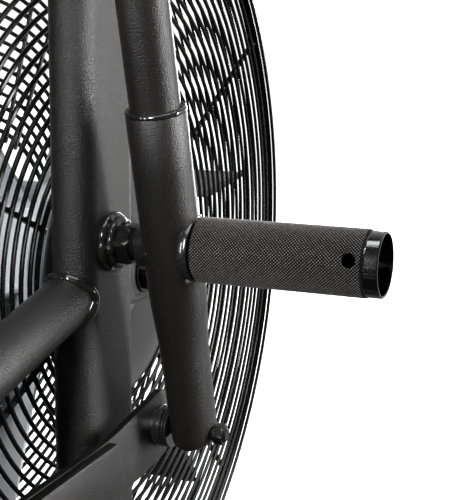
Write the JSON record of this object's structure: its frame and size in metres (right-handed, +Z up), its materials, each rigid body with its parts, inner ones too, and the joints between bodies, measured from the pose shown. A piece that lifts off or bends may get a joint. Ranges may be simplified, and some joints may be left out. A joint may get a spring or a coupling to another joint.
{
  "type": "air bike",
  "caption": "Stationary air bike: pedals and two swinging arms drive a wire-caged fan by a belt; fixed knurled foot pegs on the arm pivots, sliding saddle, four rubber feet",
  "frame": {"origin": "on the floor, under the middle of the overall box", "axes": "+X to the rider's right, along all pivot and crank axes; +Y forwards, from the saddle to the fan; +Z up"},
  "size_m": [0.6912, 1.5, 1.2841],
  "materials": {
    "frame_paint": "fine textured black powder coat",
    "guard_wire": "semi-gloss black coated wire",
    "hub_cover_paint": "satin dark grey paint",
    "peg_steel": "black oxide steel with a diamond knurl",
    "black_hardware": "black oxide steel",
    "bare_steel": "ground steel",
    "fan_metal": "grey painted sheet metal",
    "rubber_foot": "matt black rubber",
    "grip_rubber": "matt black foam rubber",
    "wheel_rubber": "black rubber-like plastic",
    "belt_rubber": "black ribbed belt",
    "pedal_plastic": "black moulded plastic",
    "black_plastic": "black moulded plastic",
    "console_plastic": "dark grey moulded plastic",
    "button_plastic": "grey moulded plastic",
    "saddle_cover": "black vinyl"
  },
  "bodies": {
    "frame": {"foot_bar_front": "frame_paint", "foot_bar_rear": "frame_paint", "foot_pad_front_right": "rubber_foot", "foot_pad_front_left": "rubber_foot", "foot_pad_rear_right": "rubber_foot", "foot_pad_rear_left": "rubber_foot", "upright_right": "frame_paint", "upright_left": "frame_paint", "side_tube_right": "frame_paint", "side_tube_left": "frame_paint", "lower_tube_right": "frame_paint", "lower_tube_left": "frame_paint", "rear_beam": "frame_paint", "crank_shell": "frame_paint", "crank_bearing_left": "frame_paint", "top_bridge": "frame_paint", "seat_mast": "frame_paint", "rear_handle": "frame_paint", "console": "console_plastic", "guard_right": "guard_wire", "guard_left": "guard_wire", "guard_band": "guard_wire", "hub_cover": "hub_cover_paint", "fan_axle": "black_hardware", "belt_cover_inner": "frame_paint", "belt_cover_outer": "frame_paint", "drive_belt": "belt_rubber", "pivot_axle_right": "black_hardware", "pivot_axle_left": "black_hardware", "foot_peg_right": "peg_steel", "foot_peg_left": "peg_steel"},
    "wheel_right": {"transport_wheel_right": "wheel_rubber"},
    "wheel_left": {"transport_wheel_left": "wheel_rubber"},
    "fan": {"fan_rotor": "fan_metal", "fan_pulley": "black_hardware"},
    "crank": {"crank_spindle": "bare_steel", "drive_pulley": "black_hardware", "crank_right": "black_hardware", "crank_left": "black_hardware"},
    "pedal_r": {"pedal_right": "pedal_plastic"},
    "pedal_l": {"pedal_left": "pedal_plastic"},
    "link_r": {"link_right": "frame_paint"},
    "link_l": {"link_left": "frame_paint"},
    "arm_r": {"arm_lever_right": "frame_paint", "arm_bolt_right": "black_hardware", "handle_tube_right": "frame_paint", "grip_right": "grip_rubber"},
    "arm_l": {"arm_lever_left": "frame_paint", "arm_bolt_left": "black_hardware", "handle_tube_left": "frame_paint", "grip_left": "grip_rubber"},
    "post": {"seat_post": "frame_paint"},
    "seat": {"seat_slider": "black_plastic", "saddle": "saddle_cover"},
    "clamp_knob": {"slider_knob": "black_plastic"},
    "pop_pin": {"seat_pin": "black_plastic"},
    "button_1": {"console_button_1": "button_plastic"},
    "button_2": {"console_button_2": "button_plastic"},
    "button_3": {"console_button_3": "button_plastic"}
  },
  "joints": [
    {"name": "crank_turn", "type": "hinge", "parent": "frame", "child": "crank", "pos_m": [0, -0.1295, 0.361], "axis": [1, 0, 0], "continuous": true},
    {"name": "fan_turn", "type": "hinge", "parent": "frame", "child": "fan", "pos_m": [0, 0.3665, 0.445], "axis": [1, 0, 0], "continuous": true},
    {"name": "pedal_right_turn", "type": "hinge", "parent": "crank", "child": "pedal_r", "pos_m": [0.3595, -0.1295, 0.191], "axis": [1, 0, 0], "continuous": true},
    {"name": "pedal_left_turn", "type": "hinge", "parent": "crank", "child": "pedal_l", "pos_m": [-0.3595, -0.1295, 0.531], "axis": [1, 0, 0], "continuous": true},
    {"name": "link_right_turn", "type": "hinge", "parent": "crank", "child": "link_r", "pos_m": [0.155, -0.1295, 0.316], "axis": [1, 0, 0], "continuous": true},
    {"name": "link_left_turn", "type": "hinge", "parent": "crank", "child": "link_l", "pos_m": [-0.155, -0.1295, 0.406], "axis": [1, 0, 0], "continuous": true},
    {"name": "arm_right_swing", "type": "hinge", "parent": "frame", "child": "arm_r", "pos_m": [0.185, 0.2805, 0.484], "axis": [1, 0, 0], "range_deg": [-16, 16]},
    {"name": "arm_left_swing", "type": "hinge", "parent": "frame", "child": "arm_l", "pos_m": [-0.185, 0.2805, 0.484], "axis": [1, 0, 0], "range_deg": [-16, 16]},
    {"name": "wheel_right_turn", "type": "hinge", "parent": "frame", "child": "wheel_right", "pos_m": [0.2532, 0.3605, 0.046], "axis": [1, 0, 0], "continuous": true},
    {"name": "wheel_left_turn", "type": "hinge", "parent": "frame", "child": "wheel_left", "pos_m": [-0.2532, 0.3605, 0.046], "axis": [1, 0, 0], "continuous": true},
    {"name": "seat_height", "type": "slide", "parent": "frame", "child": "post", "axis": [0, -0.2924, 0.9563], "range_m": [-0.12, 0.1]},
    {"name": "seat_fore_aft", "type": "slide", "parent": "post", "child": "seat", "axis": [0, 1, 0], "range_m": [-0.03, 0.04]},
    {"name": "clamp_knob_turn", "type": "hinge", "parent": "seat", "child": "clamp_knob", "pos_m": [0.0483, -0.57272, 0.75537], "axis": [1, 0, 0], "range_deg": [-270, 0]},
    {"name": "pop_pin_pull", "type": "slide", "parent": "frame", "child": "pop_pin", "axis": [0, 0.9563, 0.2924], "range_m": [0, 0.01], "stiffness_N_per_m": 400},
    {"name": "button_1_press", "type": "slide", "parent": "frame", "child": "button_1", "axis": [0, 0.8829, -0.4695], "range_m": [0, 0.0012], "stiffness_N_per_m": 800},
    {"name": "button_2_press", "type": "slide", "parent": "frame", "child": "button_2", "axis": [0, 0.8829, -0.4695], "range_m": [0, 0.0012], "stiffness_N_per_m": 800},
    {"name": "button_3_press", "type": "slide", "parent": "frame", "child": "button_3", "axis": [0, 0.8829, -0.4695], "range_m": [0, 0.0012], "stiffness_N_per_m": 800}
  ],
  "couplings": [
    {"joint": "fan_turn", "follows": "crank_turn", "ratio": 4},
    {"joint": "link_right_turn", "follows": "crank_turn", "ratio": -1},
    {"joint": "link_left_turn", "follows": "crank_turn", "ratio": -1},
    {"joint": "arm_left_swing", "follows": "arm_right_swing", "ratio": -1}
  ]
}
